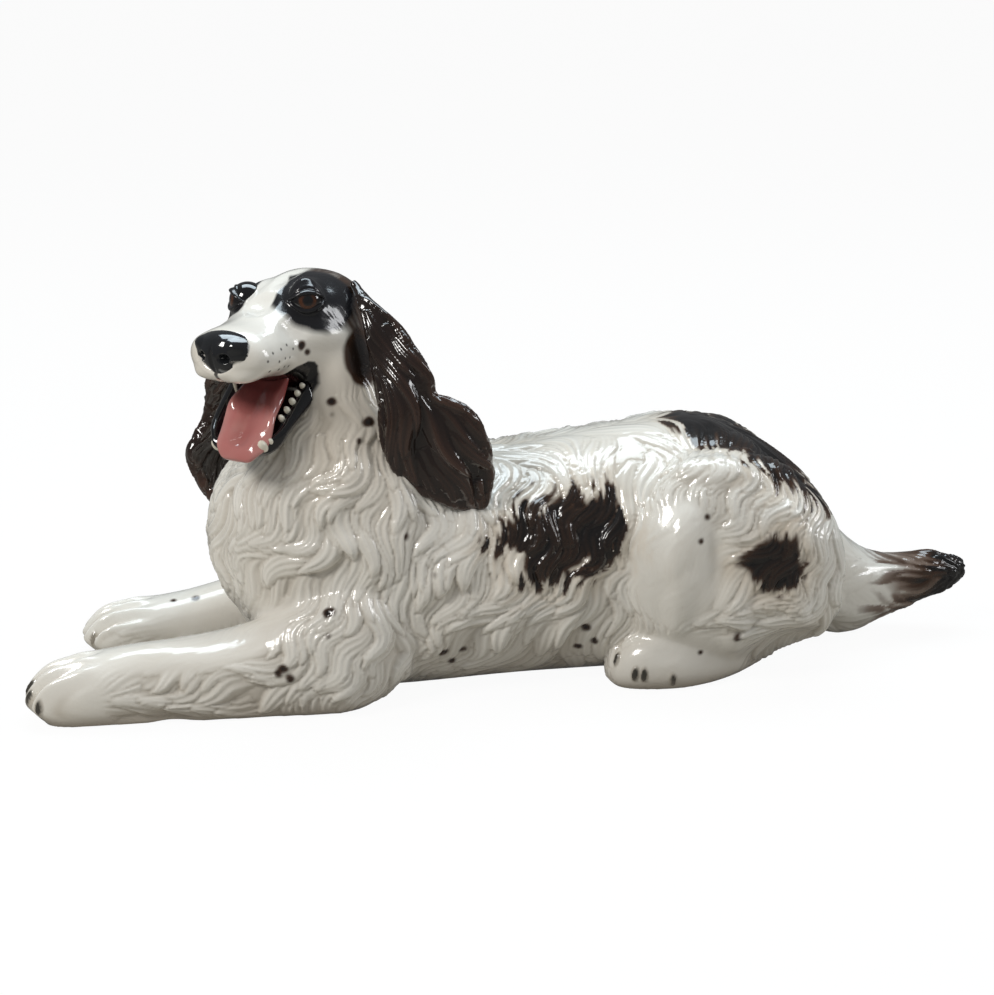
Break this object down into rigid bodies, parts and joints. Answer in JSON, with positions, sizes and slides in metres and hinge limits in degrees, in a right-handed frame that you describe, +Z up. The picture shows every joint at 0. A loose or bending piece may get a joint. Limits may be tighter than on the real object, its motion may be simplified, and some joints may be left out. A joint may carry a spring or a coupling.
{
  "type": "dog figure",
  "caption": "Large glazed ceramic figure of a lying spaniel with its head up and turned to its left, mouth open, long ears and feathered tail, to stand on a flat surface",
  "frame": {"origin": "Middle of the figure's footprint, on the surface it rests on: halfway between the front of the left forepaw and the tip of the tail, and halfway across the haunches.", "axes": "+X towards the tail (the head is at -X), +Y towards the dog's right side, +Z up. The dog's left side, which the picture shows, faces -Y."},
  "size_m": [0.6644, 0.2052, 0.2804],
  "materials": {
    "white_glaze": "gloss glaze over off-white earthenware, hand painted with brown and black markings",
    "brown_glaze": "gloss dark brown glaze",
    "black_glaze": "gloss black glaze",
    "pink_glaze": "gloss pink glaze, darker at the root",
    "tooth_glaze": "gloss cream glaze",
    "eye_glaze": "gloss brown and black glaze"
  },
  "bodies": {
    "root": {"body_shell": "white_glaze", "head_shell": "white_glaze", "lower_jaw": "black_glaze", "tongue": "pink_glaze", "teeth_left": "tooth_glaze", "teeth_right": "tooth_glaze", "upper_tooth": "tooth_glaze", "nose_pad": "black_glaze", "eye_left": "eye_glaze", "eye_right": "eye_glaze", "ear_left": "brown_glaze", "ear_right": "brown_glaze", "foreleg_left": "white_glaze", "foreleg_right": "white_glaze", "haunch_left": "white_glaze", "haunch_right": "white_glaze", "hind_foot_left": "white_glaze", "hind_foot_right": "white_glaze", "tail": "white_glaze"}
  },
  "joints": []
}
